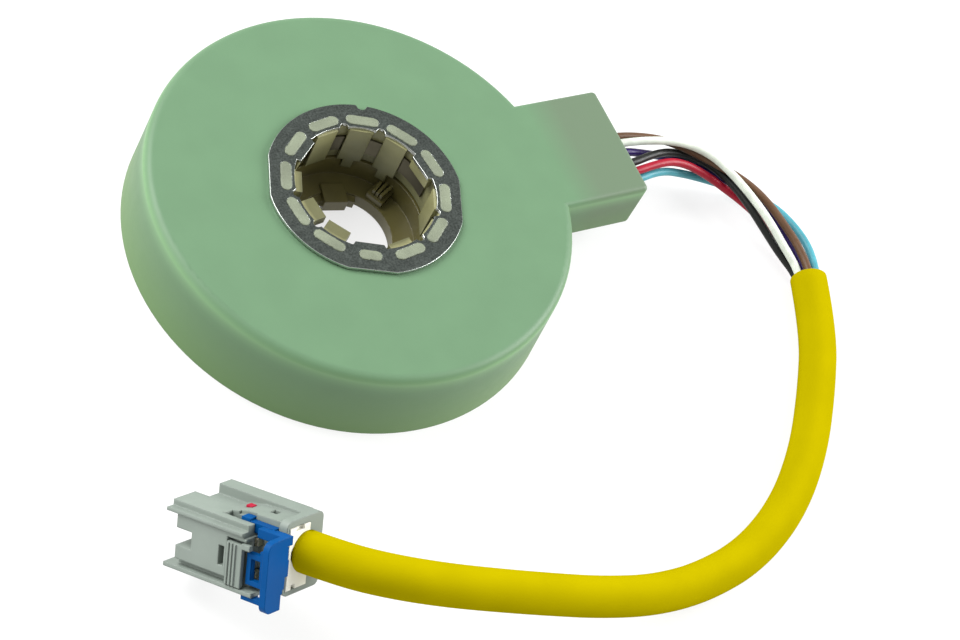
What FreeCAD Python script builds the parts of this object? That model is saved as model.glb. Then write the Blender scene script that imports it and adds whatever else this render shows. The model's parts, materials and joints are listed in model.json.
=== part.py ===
"""Steering angle sensor with its lead and plug, in millimetres.

+Z is the steering shaft's axis, out of the face with the steel plate. +X points to the wire box.
The origin is on the shaft's axis, in the plane of the back.
"""
import FreeCAD
import Part
import Sketcher
import math
import os
from FreeCAD import Matrix, Placement, Rotation, Vector

SIZES = {
    # housing shell
    "disc_radius": 40.0,
    "disc_draft": 0.7,
    "disc_height": 16.7,
    "disc_edge_round": 1.6,
    "shell_wall": 1.8,
    "roof_thickness": 2.0,
    "roof_hole_radius": 16.6,
    "box_reach": 56.2,
    "box_width": 23.7,
    "box_underside": 5.3,
    "box_wall": 1.6,
    "box_floor": 1.4,
    "box_edge_round": 1.0,
    "post_radius": 2.2,
    "post_rim_gap": 5.2,
    "post_first_angle": 50.0,
    "pin_radius": 1.1,
    "pin_length": 3.4,
    # back cover
    "cover_thickness": 1.6,
    "cover_seat_depth": 0.8,
    "cover_fit": 0.1,
    "bearing_ring_width": 1.8,
    "running_gap": 0.1,
    # board
    "board_underside": 7.6,
    "board_thickness": 1.6,
    "board_rim_gap": 0.6,
    "board_hole_radius": 18.9,
    "tongue_width": 18.0,
    "pin_fit": 0.15,
    "chip_side": 5.6,
    "chip_height": 1.2,
    "chip_gap": 1.4,
    "capacitor_length": 3.2,
    "capacitor_width": 1.6,
    "capacitor_height": 1.5,
    # output rotor
    "shaft_hole_radius": 9.3,
    "rotor_outer_radius": 17.2,
    "rotor_hole_gap": 0.4,
    "output_inner_radius": 13.6,
    "output_base": 0.4,
    "output_shelf": 3.0,
    "flange_thickness": 1.3,
    "flange_radius": 25.5,
    "key_reach": 6.5,
    "key_bottom": 0.8,
    "key_top": 3.5,
    "target_thickness": 0.8,
    "target_gap": 0.7,
    # input rotor
    "hub_radius": 16.3,
    "hub_inner_radius": 13.95,
    "hub_bottom": 8.0,
    "collar_radius": 18.5,
    "pad_face": 12.9,
    "pad_width": 4.5,
    "pad_bottom": 8.1,
    "pad_angle": 38.3,
    "tongue_tip": 9.9,
    "short_tongue_tip": 11.6,
    "tongue_thickness": 1.8,
    "nub_length": 2.1,
    "nub_width": 2.0,
    "stop_height": 1.2,
    "stop_width": 2.6,
    "stop_play": 6.0,
    # spring band
    "band_thickness": 0.4,
    "band_height": 4.0,
    "band_bottom": 10.3,
    "band_fit": 0.05,
    "band_opening": 15.0,
    # retainer plate
    "plate_gap": 0.15,
    "plate_thickness": 0.7,
    "plate_radius": 18.45,
    "plate_inner_radius": 13.3,
    "plate_flat": 17.9,
    "plate_notch_radius": 0.95,
    "land_face": 12.2,
    "land_width": 5.3,
    "stake_radius": 14.85,
    "stake_length": 6.0,
    "stake_width": 1.8,
    "stake_proud": 0.2,
    "stake_fit": 0.1,
    # wires and sleeve
    "wire_diameter": 1.6,
    "wire_fit": 0.2,
    "header_setback": 7.2,
    "header_length": 7.0,
    "header_width": 16.4,
    "header_height": 4.2,
    "plug_length": 3.6,
    "plug_setback": 0.2,
    "plug_fit": 0.1,
    "sleeve_diameter": 7.2,
    "sleeve_bore": 6.2,
    "mouth_depth": 5.3,
    # connector, in its own frame: length from the mating end, width, height from its bottom
    "plug_body_length": 20.0,
    "plug_body_width": 12.3,
    "plug_lip_height": 10.14,
    "plug_deck_height": 11.12,
    "plug_rail_height": 12.8,
    "plug_rail_width": 3.08,
    "plug_rail_setback": 3.0,
    "plug_lip_width": 1.56,
    "plug_lip_thickness": 0.55,
    "plug_floor": 0.69,
    "plug_setin": 0.4,
    "nose_setback": 2.0,
    "nose_slot_low": 4.1,
    "nose_slot_high": 7.1,
    "nose_slot_length": 5.2,
    "strip_width": 3.0,
    "strip_setback": 4.2,
    "ramp_start": 8.0,
    "ramp_crest": 13.0,
    "ramp_height": 0.9,
    "ramp_end_height": 1.2,
    "frame_thickness": 1.7,
    "frame_left": 3.8,
    "frame_right": 13.1,
    "frame_edge_round": 1.2,
    "insert_left": 4.4,
    "insert_right": 9.5,
    "insert_bottom": 1.0,
    "insert_top": 11.6,
    "insert_fit": 0.05,
    "insert_plate": 0.6,
    "insert_bore": 4.0,
    "sleeve_start_inside": 1.5,
    "sleeve_axis_height": 7.0,
    "insert_proud": 0.2,
    # latch pad on the connector's near side
    "well_depth": 2.0,
    "well_length": 7.5,
    "well_top": 8.7,
    "thumb_setback": 7.1,
    "thumb_length": 3.1,
    "thumb_low": 0.9,
    "thumb_high": 8.2,
    "thumb_outside": 0.1,
    "thumb_inside": 0.7,
    "thumb_rib": 0.25,
    # sliding lock
    "lock_fit": 0.1,
    "lock_travel": 1.5,
    "lock_plate_thickness": 1.2,
    "lock_plate_near": 2.3,
    "lock_plate_drop": 0.9,
    "lock_plate_round": 1.5,
    "lock_plate_far": 2.4,
    "lock_arm_slot": 1.5,
    "lock_arm_depth": 1.6,
    "lock_arm_length": 7.1,
    "lock_tab_length": 1.8,
    "lock_tab_reach": 0.36,
    "lock_tab_height": 0.5,
    "lock_box_length": 3.55,
    "lock_box_low": 1.7,
    "lock_box_high": 7.05,
    "lock_box_near": 0.8,
    "lock_box_far": 1.9,
    "lock_wall": 0.85,
    "lock_foot_length": 3.9,
    "lock_foot_width": 2.2,
    # lock pin, square hole and contacts
    "lock_pin_side": 1.2,
    "lock_pin_height": 0.8,
    "lock_pin_depth": 1.6,
    "lock_pin_length": 11.3,
    "lock_pin_width": 7.5,
    "square_hole": 1.4,
    "square_hole_length": 16.3,
    "contact_side": 1.3,
    "contact_start": 6.0,
    "contact_length": 11.0,
    "contact_step": 3.0,
    "contact_first": 3.2,
    "contact_low": 2.95,
    "contact_high": 8.35,
    # where the connector lies
    "plug_yaw": -62.1,
    "plug_pitch": 33.0,
    "plug_roll": -25.0,
    "plug_place_x": -57.3,
    "plug_place_y": -48.1,
    "plug_floor_gap": 0.05,
}

PATTERN_STEP = 30.0
LANDS = 3
POSTS = 4
TORQUE_LOBES = 6
ANGLE_LOBES = 5

# Each lead leaves the box at a width and a height, and then lies where these points say.
WIRE_EXITS = {
    "wire_white": (2.9, 10.6),
    "wire_brown": (4.6, 10.9),
    "wire_violet": (1.1, 10.8),
    "wire_black": (-2.9, 11.3),
    "wire_red": (-4.3, 10.4),
    "wire_teal": (-5.6, 9.2),
}
WIRE_FIRST_BEND = 58.0
WIRE_ROUTES = {
    "wire_white": [(67.5, 1.2, 11.6), (74.1, -1.0, 11.3), (78.5, -4.5, 10.5), (81.2, -9.0, 9.6),
                   (83.2, -13.9, 8.7), (84.8, -19.0, 7.7), (86.1, -24.9, 6.1), (87.94, -30.49, 3.95),
                   (86.06, -35.34, 3.95)],
    "wire_brown": [(67.5, 3.0, 10.1), (73.0, 0.2, 9.6), (77.4, -3.3, 8.9), (81.5, -7.1, 8.5),
                   (85.0, -11.2, 8.0), (87.3, -15.8, 7.3), (88.5, -20.6, 6.6), (89.4, -25.1, 6.0),
                   (89.17, -30.97, 5.4), (87.3, -35.82, 5.4)],
    "wire_violet": [(68.3, 0.9, 6.9), (75.0, -1.2, 5.6), (80.4, -5.2, 5.0), (85.4, -9.7, 5.0),
                    (88.0, -14.6, 4.8), (89.3, -20.0, 4.4), (89.8, -25.4, 4.0), (89.52, -31.1, 3.7),
                    (87.65, -35.95, 3.7)],
    "wire_black": [(67.3, -0.5, 9.6), (73.0, -0.2, 7.8), (77.8, -2.4, 6.95), (81.1, -6.3, 6.8),
                   (82.4, -11.0, 6.9), (83.3, -15.9, 6.6), (84.6, -20.6, 5.3), (86.1, -25.1, 3.8),
                   (88.36, -30.65, 2.35), (86.48, -35.5, 2.35)],
    "wire_red": [(67.4, -3.1, 10.2), (72.6, -3.5, 8.7), (77.4, -5.9, 6.8), (81.2, -8.6, 4.9),
                 (84.2, -12.3, 4.2), (86.7, -16.7, 3.5), (88.4, -21.1, 2.8), (89.2, -25.5, 2.2),
                 (89.94, -31.27, 1.85), (88.07, -36.12, 1.85)],
    "wire_teal": [(67.5, -3.2, 7.4), (74.6, -3.7, 4.8), (82.0, -5.7, 2.5), (88.5, -9.6, 2.0),
                  (92.0, -14.2, 2.6), (93.2, -18.6, 3.1), (93.5, -23.0, 3.6), (92.8, -26.9, 4.1),
                  (90.78, -31.59, 4.85), (88.91, -36.44, 4.85)],
}
# The sleeve's points after it has left the connector, up to its open mouth.
SLEEVE_ROUTE = [(-37.0, -69.0, 19.9), (-30.2, -73.6, 20.6), (-21.3, -77.0, 19.1), (-11.2, -79.5, 16.3),
                (-0.7, -81.7, 13.1), (10.0, -83.7, 9.8), (21.4, -85.1, 6.8), (33.0, -84.8, 4.6),
                (45.6, -82.3, 3.7), (57.8, -76.0, 3.7), (68.3, -66.6, 3.7), (77.2, -55.2, 3.7),
                (84.8, -43.6, 3.7), (89.4, -31.7, 3.7)]

doc = FreeCAD.newDocument("SteeringAngleSensor")
sheet = doc.addObject("Spreadsheet::Sheet", "Sizes")
for row, (alias, number) in enumerate(SIZES.items(), start=1):
    sheet.set("A%d" % row, alias)
    sheet.set("B%d" % row, str(number))
    sheet.setAlias("B%d" % row, alias)
doc.recompute()


class Size:
    """A length or angle that knows both its value and the formula that gives it in the sheet."""

    def __init__(self, value, formula):
        self.value = float(value)
        self.formula = formula

    @staticmethod
    def of(other):
        if isinstance(other, Size):
            return other
        return Size(other, "(%.9g)" % other)

    def __float__(self):
        return self.value

    def __add__(self, other):
        other = Size.of(other)
        return Size(self.value + other.value, "(%s + %s)" % (self.formula, other.formula))

    def __sub__(self, other):
        other = Size.of(other)
        return Size(self.value - other.value, "(%s - %s)" % (self.formula, other.formula))

    def __mul__(self, other):
        other = Size.of(other)
        return Size(self.value * other.value, "(%s * %s)" % (self.formula, other.formula))

    def __truediv__(self, other):
        other = Size.of(other)
        return Size(self.value / other.value, "(%s / %s)" % (self.formula, other.formula))

    def __radd__(self, other):
        return Size.of(other) + self

    def __rsub__(self, other):
        return Size.of(other) - self

    def __rmul__(self, other):
        return Size.of(other) * self

    def __neg__(self):
        return Size(-self.value, "(0 - %s)" % self.formula)


def size(name):
    """The named size, bound to its cell."""
    return Size(SIZES[name], "Sizes." + name)


def cosine(angle):
    angle = Size.of(angle)
    return Size(math.cos(math.radians(angle.value)), "cos(%s)" % angle.formula)


def sine(angle):
    angle = Size.of(angle)
    return Size(math.sin(math.radians(angle.value)), "sin(%s)" % angle.formula)


def bind(item, prop, value):
    """Give a property its value and, where it is a size, its formula."""
    value = Size.of(value)
    item.setExpression(prop, value.formula)


NODES = {}


def keep(item, label, placement=None):
    """Name a finished sub-part."""
    item.Label = label
    if placement is not None:
        item.Placement = placement
    NODES[label] = item
    return item


def new_body(name):
    return doc.addObject("PartDesign::Body", name)


def origin_feature(body, role):
    for feature in body.Origin.OriginFeatures:
        if feature.Role == role:
            return feature
    raise ValueError(role)


def new_sketch(body, name, plane, height=None, turn=None):
    """A sketch on one of the body's planes, raised along its normal and turned about it."""
    sketch = body.newObject("Sketcher::SketchObject", name)
    sketch.AttachmentSupport = (origin_feature(body, plane), [""])
    sketch.MapMode = "FlatFace"
    if height is not None:
        bind(sketch, "AttachmentOffset.Base.z", height)
    if turn is not None:
        bind(sketch, "AttachmentOffset.Rotation.Angle", turn)
    return sketch


def hold(sketch, kind, edge, end, value):
    """Hold a sketch point at a bound distance from the sketch's origin, along X or Y."""
    value = Size.of(value)
    axis = -2 if kind == "DistanceX" else -1
    if abs(value.value) < 1e-9:
        sketch.addConstraint(Sketcher.Constraint("PointOnObject", edge, end, axis))
    else:
        index = sketch.addConstraint(Sketcher.Constraint(kind, -1, 1, edge, end, value.value))
        sketch.setExpression("Constraints[%d]" % index, value.formula)


def place_point(sketch, edge, end, across, up):
    hold(sketch, "DistanceX", edge, end, across)
    hold(sketch, "DistanceY", edge, end, up)


def draw_outline(sketch, corners):
    """A closed outline of straight edges."""
    points = [Vector(float(across), float(up), 0) for across, up in corners]
    first = sketch.GeometryCount
    for i, start in enumerate(points):
        end = points[(i + 1) % len(points)]
        sketch.addGeometry(Part.LineSegment(start, end), False)
    for i in range(len(points)):
        after = first + (i + 1) % len(points)
        sketch.addConstraint(Sketcher.Constraint("Coincident", first + i, 2, after, 1))
    for i, (across, up) in enumerate(corners):
        place_point(sketch, first + i, 1, across, up)


def draw_circle(sketch, radius, across=0.0, up=0.0):
    radius = Size.of(radius)
    centre = Vector(float(across), float(up), 0)
    index = sketch.addGeometry(Part.Circle(centre, Vector(0, 0, 1), radius.value), False)
    bound = sketch.addConstraint(Sketcher.Constraint("Radius", index, radius.value))
    sketch.setExpression("Constraints[%d]" % bound, radius.formula)
    place_point(sketch, index, 3, across, up)


def draw_rounded(sketch, left, right, low, high, radius):
    """A rectangle with four equal round corners."""
    west, east, south, north, bend = (float(value) for value in (left, right, low, high, radius))
    first = sketch.GeometryCount
    sides = [((west + bend, south), (east - bend, south)), ((east, south + bend), (east, north - bend)),
             ((east - bend, north), (west + bend, north)), ((west, north - bend), (west, south + bend))]
    centres = [(east - bend, south + bend), (east - bend, north - bend),
               (west + bend, north - bend), (west + bend, south + bend)]
    for i in range(4):
        start, end = sides[i]
        sketch.addGeometry(Part.LineSegment(Vector(*start, 0), Vector(*end, 0)), False)
        circle = Part.Circle(Vector(*centres[i], 0), Vector(0, 0, 1), bend)
        quarter = math.pi / 2
        sketch.addGeometry(Part.ArcOfCircle(circle, quarter * (i - 1), quarter * i), False)
    for i in range(8):
        sketch.addConstraint(Sketcher.Constraint("Tangent", first + i, 2, first + (i + 1) % 8, 1))
    for i, kind in ((0, "Horizontal"), (2, "Vertical"), (4, "Horizontal"), (6, "Vertical")):
        sketch.addConstraint(Sketcher.Constraint(kind, first + i))
    index = sketch.addConstraint(Sketcher.Constraint("Radius", first + 1, bend))
    sketch.setExpression("Constraints[%d]" % index, Size.of(radius).formula)
    for i in (3, 5, 7):
        sketch.addConstraint(Sketcher.Constraint("Equal", first + 1, first + i))
    hold(sketch, "DistanceY", first, 1, low)
    hold(sketch, "DistanceX", first + 2, 1, right)
    hold(sketch, "DistanceY", first + 4, 1, high)
    hold(sketch, "DistanceX", first + 6, 1, left)


def rectangle(left, right, low, high):
    return [(left, low), (right, low), (right, high), (left, high)]


def turned_rectangle(near, far, width, angle):
    """A rectangle from near to far along a spoke at the angle, as corners."""
    corners = []
    for along, across in ((near, -width / 2), (far, -width / 2), (far, width / 2), (near, width / 2)):
        x = along * cosine(angle) - across * sine(angle)
        y = along * sine(angle) + across * cosine(angle)
        corners.append((x, y))
    return corners


def extrude(body, kind, sketch, length, reverse=False):
    """A pad or a pocket of one sketch."""
    feature = body.newObject("PartDesign::" + kind, sketch.Name + kind)
    feature.Profile = sketch
    feature.Reversed = reverse
    bind(feature, "Length", length)
    body.Tip = feature
    return feature


def turn_about_axis(body, kind, sketch, angle=360.0):
    """A revolution or groove about the body's upright axis."""
    feature = body.newObject("PartDesign::" + kind, sketch.Name + kind)
    feature.Profile = sketch
    feature.ReferenceAxis = (sketch, ["V_Axis"])
    bind(feature, "Angle", angle)
    body.Tip = feature
    return feature


def repeat_round(body, features, count):
    """Repeat features round the body's upright axis."""
    pattern = body.newObject("PartDesign::PolarPattern", features[0].Name + "Round")
    pattern.Originals = features
    pattern.Axis = (origin_feature(body, "Z_Axis"), [""])
    pattern.Angle = 360
    pattern.Occurrences = count
    body.Tip = pattern
    return pattern


def round_edges(body, name, radius, choose):
    """Round the edges of the body's last feature that the chooser picks."""
    doc.recompute()
    base = body.Tip
    names = ["Edge%d" % (i + 1) for i, edge in enumerate(base.Shape.Edges) if choose(edge)]
    if not names:
        raise ValueError("no edge to round in " + name)
    fillet = body.newObject("PartDesign::Fillet", name)
    fillet.Base = (base, names)
    bind(fillet, "Radius", radius)
    body.Tip = fillet
    return fillet


def bound_placement(item, x, y, z):
    bind(item, "Placement.Base.x", x)
    bind(item, "Placement.Base.y", y)
    bind(item, "Placement.Base.z", z)


def box(name, x, y, z):
    """A plain box between three bound pairs."""
    item = doc.addObject("Part::Box", name)
    for prop, pair in (("Length", x), ("Width", y), ("Height", z)):
        bind(item, prop, Size.of(pair[1]) - pair[0])
    bound_placement(item, x[0], y[0], z[0])
    return item


def cylinder(name, radius, z, x=0.0, y=0.0):
    item = doc.addObject("Part::Cylinder", name)
    bind(item, "Radius", radius)
    bind(item, "Height", Size.of(z[1]) - z[0])
    bound_placement(item, x, y, z[0])
    return item


def join(name, items):
    fused = doc.addObject("Part::MultiFuse", name)
    fused.Shapes = items
    fused.Refine = True
    return fused


def take_away(name, base, tool):
    result = doc.addObject("Part::Cut", name)
    result.Base = base
    result.Tool = tool
    result.Refine = True
    return result


def group(name, items):
    compound = doc.addObject("Part::Compound", name)
    compound.Links = items
    return compound


# Heights that several pieces share.
face = size("disc_height")
roof_inside = face - size("roof_thickness")
board_low = size("board_underside")
board_high = board_low + size("board_thickness")
bearing_gap = size("running_gap")
plate_low = face + size("plate_gap")
plate_high = plate_low + size("plate_thickness")
stake_top = plate_high + size("stake_proud")
output_flange_top = board_low - size("target_gap") - size("target_thickness")
output_flange_low = output_flange_top - size("flange_thickness")
torque_low = board_high + size("target_gap")
torque_high = torque_low + size("target_thickness")
input_flange_top = torque_high + size("flange_thickness")
cover_seat_radius = size("disc_radius") + size("disc_draft") - size("shell_wall") + size("cover_seat_depth")
cover_hole_radius = size("rotor_outer_radius") + size("rotor_hole_gap")
band_inner = size("hub_inner_radius") - size("band_fit") - size("band_thickness")
box_inner_low = size("box_underside") + size("box_floor")
box_half_inside = size("box_width") / 2 - size("box_wall")
stop_angle = size("pad_angle") + 3 * PATTERN_STEP
post_ring_radius = size("disc_radius") - size("shell_wall") - size("post_rim_gap")
header_front = size("box_reach") - size("header_setback")
contact_low = size("contact_low")
contact_high = size("contact_high")


def make_housing():
    disc = new_body("DiscOutside")
    outline = new_sketch(disc, "DiscOutline", "XZ_Plane")
    foot = size("disc_radius") + size("disc_draft")
    draw_outline(outline, [(0, 0), (foot, 0), (size("disc_radius"), face), (0, face)])
    turn_about_axis(disc, "Revolution", outline)
    round_edges(disc, "DiscEdge", size("disc_edge_round"),
                lambda edge: abs(edge.CenterOfMass.z - float(face)) < 0.01 and edge.Length > 1)

    wire_box = new_body("BoxOutside")
    root = size("disc_radius") * 0.75
    section = new_sketch(wire_box, "BoxSection", "YZ_Plane", height=root)
    half = size("box_width") / 2
    draw_outline(section, rectangle(-half, half, size("box_underside"), face))
    extrude(wire_box, "Pad", section, size("box_reach") - root)
    round_edges(wire_box, "BoxEdge", size("box_edge_round"),
                lambda edge: edge.CenterOfMass.x > float(root) + 0.01)
    outside = join("HousingOutside", [disc, wire_box])

    inside = new_body("DiscInside")
    hollow = new_sketch(inside, "DiscHollow", "XZ_Plane")
    inner_foot = foot - size("shell_wall")
    inner_top = size("disc_radius") - size("shell_wall")
    ledge = size("cover_thickness")
    draw_outline(hollow, [(0, 0), (cover_seat_radius, 0), (cover_seat_radius, ledge),
                          (inner_foot, ledge), (inner_top, roof_inside),
                          (size("roof_hole_radius"), roof_inside), (size("roof_hole_radius"), face),
                          (0, face)])
    turn_about_axis(inside, "Revolution", hollow)
    channel = box("BoxInside", (root - 2, size("box_reach")), (-box_half_inside, box_half_inside),
                  (box_inner_low, roof_inside))
    shell = take_away("HousingShell", outside, join("HousingInside", [inside, channel]))

    posts = new_body("Posts")
    ring = new_sketch(posts, "PostSketch", "XY_Plane", height=board_high)
    angle = size("post_first_angle")
    post_x = post_ring_radius * cosine(angle)
    post_y = post_ring_radius * sine(angle)
    draw_circle(ring, size("post_radius"), post_x, post_y)
    extrude(posts, "Pad", ring, roof_inside - board_high + size("roof_thickness") / 2)
    tip = new_sketch(posts, "PinSketch", "XY_Plane", height=board_high)
    draw_circle(tip, size("pin_radius"), post_x, post_y)
    extrude(posts, "Pad", tip, size("pin_length"), reverse=True)
    posts_all = [posts]
    for i in range(1, POSTS):
        copy = doc.addObject("Part::Feature", "Post%d" % (i + 1))
        doc.recompute()
        copy.Shape = posts.Shape.copy()
        copy.Placement = Placement(Vector(), Rotation(Vector(0, 0, 1), 360.0 / POSTS * i))
        posts_all.append(copy)
    keep(join("Housing", [shell] + posts_all), "housing")


def make_back_cover():
    body = new_body("BackCover")
    section = new_sketch(body, "CoverSection", "XZ_Plane")
    rim = cover_seat_radius - size("cover_fit")
    top = size("cover_thickness")
    ring_in = cover_hole_radius + 0.6
    ring_out = ring_in + size("bearing_ring_width")
    ring_top = output_flange_low - bearing_gap
    draw_outline(section, [(cover_hole_radius, 0), (rim, 0), (rim, top), (ring_out, top),
                           (ring_out, ring_top), (ring_in, ring_top), (ring_in, top),
                           (cover_hole_radius, top)])
    turn_about_axis(body, "Revolution", section)
    stand = new_sketch(body, "StandSketch", "XY_Plane", height=top / 2)
    angle = size("post_first_angle")
    stand_x = post_ring_radius * cosine(angle)
    stand_y = post_ring_radius * sine(angle)
    draw_circle(stand, size("post_radius"), stand_x, stand_y)
    draw_circle(stand, size("pin_radius") + size("pin_fit"), stand_x, stand_y)
    post = extrude(body, "Pad", stand, board_low - top / 2)
    repeat_round(body, [post], POSTS)
    keep(body, "back_cover")


def make_retainer_plate():
    body = new_body("RetainerPlate")
    ring = new_sketch(body, "PlateRing", "XY_Plane", height=plate_low)
    draw_circle(ring, size("plate_radius"))
    draw_circle(ring, size("plate_inner_radius"))
    thick = size("plate_thickness")
    extrude(body, "Pad", ring, thick)
    land_angle = size("pad_angle") - PATTERN_STEP
    lands = new_sketch(body, "PlateLands", "XY_Plane", height=plate_low)
    draw_outline(lands, turned_rectangle(size("land_face"), size("stake_radius"), size("land_width"),
                                         land_angle))
    land = extrude(body, "Pad", lands, thick)
    repeat_round(body, [land], LANDS)
    # the widest tab has sloping flanks
    wide = new_sketch(body, "WideTab", "XY_Plane", height=plate_low, turn=land_angle - 4 * PATTERN_STEP)
    half = size("land_width") / 2
    draw_outline(wide, [(size("land_face"), -half), (size("land_face"), half),
                        (size("stake_radius"), half + 1.6), (size("stake_radius"), -half - 1.6)])
    extrude(body, "Pad", wide, thick)
    flats = new_sketch(body, "PlateFlats", "XY_Plane", height=plate_low)
    for angle in (159.0, -22.0, -110.5):
        draw_outline(flats, turned_rectangle(size("plate_flat"), size("plate_radius") + 2,
                                             size("plate_radius"), angle))
    extrude(body, "Pocket", flats, thick, reverse=True)
    notch = new_sketch(body, "PlateNotch", "XY_Plane", height=plate_low)
    notch_angle = size("pad_angle") + PATTERN_STEP
    draw_circle(notch, size("plate_notch_radius"), size("plate_radius") * cosine(notch_angle),
                size("plate_radius") * sine(notch_angle))
    extrude(body, "Pocket", notch, thick, reverse=True)
    scallop = new_sketch(body, "PlateScallops", "XY_Plane", height=plate_low)
    for step in (0.5, 1.5):
        angle = size("pad_angle") + PATTERN_STEP * step
        draw_circle(scallop, 0.8, size("plate_inner_radius") * cosine(angle),
                    size("plate_inner_radius") * sine(angle))
    scallops = extrude(body, "Pocket", scallop, thick, reverse=True)
    repeat_round(body, [scallops], LANDS)
    slots = new_sketch(body, "PlateSlots", "XY_Plane", height=plate_low)
    draw_stakes(slots, size("stake_fit"))
    extrude(body, "Pocket", slots, thick, reverse=True)
    keep(body, "retainer_plate")


def draw_stakes(sketch, clearance):
    """Twelve short bars on one circle. One of them is shorter than the rest."""
    low = size("stake_radius") - size("stake_width") / 2 - clearance
    high = size("stake_radius") + size("stake_width") / 2 + clearance
    for i in range(12):
        length = size("stake_length")
        if i == 7:
            length = length * 2 / 3
        angle = size("pad_angle") + PATTERN_STEP * i
        draw_outline(sketch, turned_rectangle(low, high, length + 2 * clearance, angle))


def make_input_rotor():
    body = new_body("InputRotor")
    section = new_sketch(body, "InputSection", "XZ_Plane")
    inner = size("hub_inner_radius")
    hub = size("hub_radius")
    collar_top = roof_inside - bearing_gap
    draw_outline(section, [(inner, size("hub_bottom")), (hub, size("hub_bottom")), (hub, torque_high),
                           (size("flange_radius"), torque_high), (size("flange_radius"), input_flange_top),
                           (size("collar_radius"), input_flange_top), (size("collar_radius"), collar_top),
                           (hub, collar_top), (hub, plate_low), (inner, plate_low)])
    turn_about_axis(body, "Revolution", section)

    root = inner + 0.4
    pads = new_sketch(body, "Pads", "XY_Plane", height=size("pad_bottom"))
    for step in range(3):
        draw_outline(pads, turned_rectangle(size("pad_face"), root, size("pad_width"),
                                            size("pad_angle") + PATTERN_STEP * step))
    pad = extrude(body, "Pad", pads, plate_low - size("pad_bottom"))
    repeat_round(body, [pad], LANDS)

    groove = new_sketch(body, "BandGroove", "XZ_Plane")
    low = size("band_bottom") - size("band_fit")
    high = low + size("band_height") + 2 * size("band_fit")
    draw_outline(groove, rectangle(band_inner - size("band_fit"), inner, low, high))
    turn_about_axis(body, "Groove", groove)

    shelf = new_sketch(body, "Shelves", "XY_Plane", height=high)
    draw_outline(shelf, turned_rectangle(size("land_face") + 0.3, root, size("land_width"),
                                         size("pad_angle") - PATTERN_STEP))
    shelf_pad = extrude(body, "Pad", shelf, plate_low - high)
    repeat_round(body, [shelf_pad], LANDS)

    nubs = new_sketch(body, "Nubs", "XY_Plane", height=size("pad_bottom") - size("nub_length"))
    for step in range(2):
        draw_outline(nubs, turned_rectangle(size("pad_face"), band_inner - size("band_fit"), size("nub_width"),
                                            size("pad_angle") + PATTERN_STEP * step))
    extrude(body, "Pad", nubs, size("nub_length") + 0.5)

    # tongues stand inward just under the plate, on the side away from the land
    tongues = new_sketch(body, "Tongues", "XY_Plane", height=plate_low - 0.5 - size("tongue_thickness"))
    for step, tip in ((4, "short_tongue_tip"), (5, "tongue_tip"), (6, "tongue_tip"), (8, "short_tongue_tip")):
        draw_outline(tongues, turned_rectangle(size(tip), band_inner, size("pad_width"),
                                               size("pad_angle") + PATTERN_STEP * step))
    extrude(body, "Pad", tongues, size("tongue_thickness"))

    stakes = new_sketch(body, "Stakes", "XY_Plane", height=plate_low)
    draw_stakes(stakes, 0.0)
    extrude(body, "Pad", stakes, stake_top - plate_low)

    # two notches in the lower edge leave the output rotor's lugs their play
    notches = new_sketch(body, "StopNotches", "XY_Plane", height=size("hub_bottom"))
    half_play = sine(size("stop_play")) * hub + 0.2
    for step in (0, 4):
        draw_outline(notches, turned_rectangle(inner - 0.2, hub + 1, size("stop_width") + 2 * half_play,
                                               stop_angle + PATTERN_STEP * step))
    extrude(body, "Pocket", notches, size("stop_height"), reverse=True)
    keep(body, "input_rotor")


def make_spring_band():
    body = new_body("SpringBand")
    section = new_sketch(body, "BandSection", "XZ_Plane")
    draw_outline(section, rectangle(band_inner, band_inner + size("band_thickness"), size("band_bottom"),
                                    size("band_bottom") + size("band_height")))
    turn_about_axis(body, "Revolution", section, 360 - size("band_opening"))
    keep(body, "spring_band")


def make_target(name, label, low, inner, lobes):
    """A stamped ring whose lobes pass over the board's coils."""
    body = new_body(name)
    ring = new_sketch(body, name + "Ring", "XY_Plane", height=low)
    outer = size("flange_radius") - 0.3
    draw_circle(ring, outer)
    draw_circle(ring, inner)
    extrude(body, "Pad", ring, size("target_thickness"))
    window = new_sketch(body, name + "Window", "XY_Plane", height=low)
    draw_outline(window, turned_rectangle(inner + 2.2, outer + 1, outer * sine(90.0 / lobes) * 1.6, 0.0))
    gap = extrude(body, "Pocket", window, size("target_thickness"), reverse=True)
    repeat_round(body, [gap], lobes)
    keep(body, label)


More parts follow.
